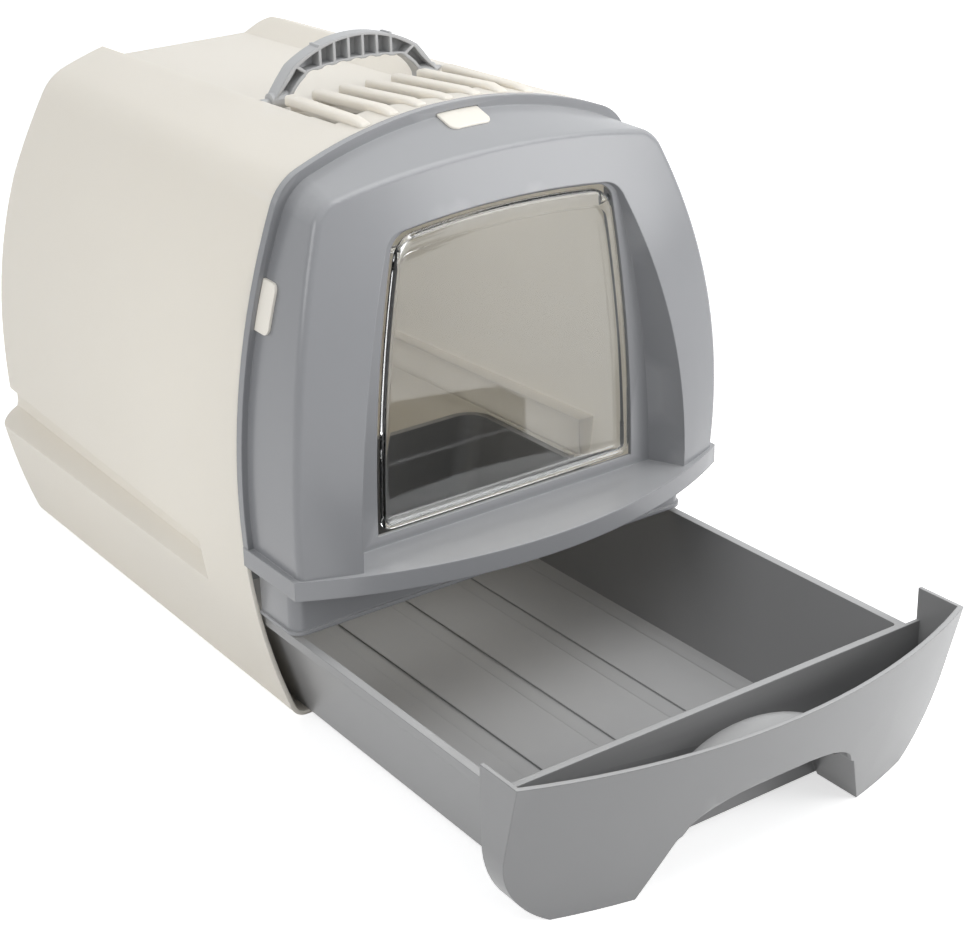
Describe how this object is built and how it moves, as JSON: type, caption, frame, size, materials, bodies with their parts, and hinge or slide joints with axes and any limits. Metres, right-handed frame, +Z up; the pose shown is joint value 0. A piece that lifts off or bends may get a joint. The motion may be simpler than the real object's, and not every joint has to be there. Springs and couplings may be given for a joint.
{
  "type": "covered litter box",
  "caption": "Barrel-shaped covered litter box with a clear swing flap, a pull-out drawer with a bowed front, a folding carry handle and a filtered vent.",
  "frame": {"origin": "centre of the housing's flat underside, on the floor", "axes": "+X to the right seen from behind the box, -Y out of the entrance and the way the drawer opens, +Z up"},
  "size_m": [0.394, 0.844, 0.487],
  "materials": {
    "cream_shell": "fine matte grain",
    "grey_frame": "satin",
    "clear_flap": "clear and polished",
    "cream_clip": "smooth",
    "grey_drawer": "satin",
    "grey_handle": "satin",
    "charcoal_pad": "open foam"
  },
  "bodies": {
    "cabinet": {"housing": "cream_shell", "front_frame": "grey_frame", "clip_left": "cream_clip", "clip_right": "cream_clip", "clip_top": "cream_clip", "filter_tray": "cream_clip", "filter_pad": "charcoal_pad"},
    "pull_out": {"drawer": "grey_drawer"},
    "door": {"flap": "clear_flap"},
    "carrier": {"handle": "grey_handle"}
  },
  "joints": [
    {"name": "drawer_slide", "type": "slide", "parent": "cabinet", "child": "pull_out", "axis": [0, 1, 0], "range_m": [-0.13, 0.242]},
    {"name": "flap_swing", "type": "hinge", "parent": "cabinet", "child": "door", "pos_m": [0, -0.297, 0.377], "axis": [1, 0, 0], "range_deg": [-75, 75]},
    {"name": "handle_fold", "type": "hinge", "parent": "cabinet", "child": "carrier", "pos_m": [0, -0.109, 0.445], "axis": [-1, 0, 0], "range_deg": [0, 86]}
  ]
}
